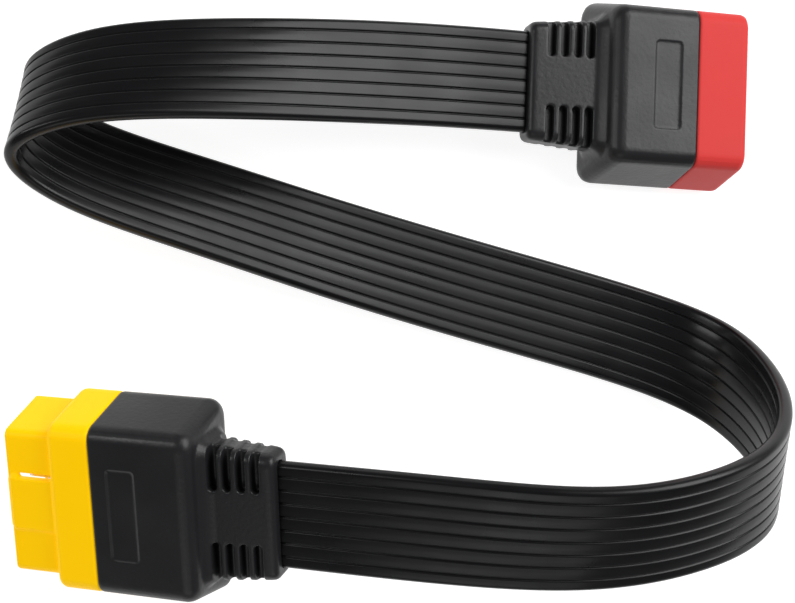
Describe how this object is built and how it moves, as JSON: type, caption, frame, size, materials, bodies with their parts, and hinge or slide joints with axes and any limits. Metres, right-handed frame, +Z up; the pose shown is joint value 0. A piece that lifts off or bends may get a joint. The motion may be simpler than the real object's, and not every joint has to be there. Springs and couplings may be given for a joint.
{
  "type": "flat extension cable",
  "caption": "Flat ribbed extension cable with a moulded D-shaped male plug at one end and a matching female socket at the other.",
  "frame": {"origin": "centre of the two connectors' common box in plan, at the surface they lie on", "axes": "+Z up; +X along the connectors, from the plug's mouth end towards the socket's mouth; +Y from the plug towards the socket"},
  "size_m": [0.1997, 0.1654, 0.0735],
  "materials": {
    "black_pvc": "satin",
    "yellow_plastic": "satin",
    "red_plastic": "satin",
    "plate_plastic": "matte",
    "inner_plastic": "matte",
    "contact_metal": "tin plated, satin",
    "sleeve_plastic": "matte",
    "upper_wire": "gloss",
    "lower_wire": "gloss",
    "cable_pvc": "gloss"
  },
  "bodies": {
    "root": {"male_overmould": "black_pvc", "male_front_shell": "yellow_plastic", "male_contact_carrier": "yellow_plastic", "male_rear_plate": "plate_plastic", "male_inner_mould": "inner_plastic", "male_upper_pins": "contact_metal", "male_lower_pins": "contact_metal", "male_upper_sleeves": "sleeve_plastic", "male_lower_sleeves": "sleeve_plastic", "male_upper_wires": "upper_wire", "male_lower_wires": "lower_wire", "female_overmould": "black_pvc", "female_shroud": "red_plastic", "female_terminal_block": "red_plastic", "female_rear_plate": "plate_plastic", "female_inner_mould": "inner_plastic", "female_upper_contacts": "contact_metal", "female_lower_contacts": "contact_metal", "female_upper_sleeves": "sleeve_plastic", "female_lower_sleeves": "sleeve_plastic", "female_upper_wires": "upper_wire", "female_lower_wires": "lower_wire", "flat_cable": "cable_pvc"}
  },
  "joints": []
}
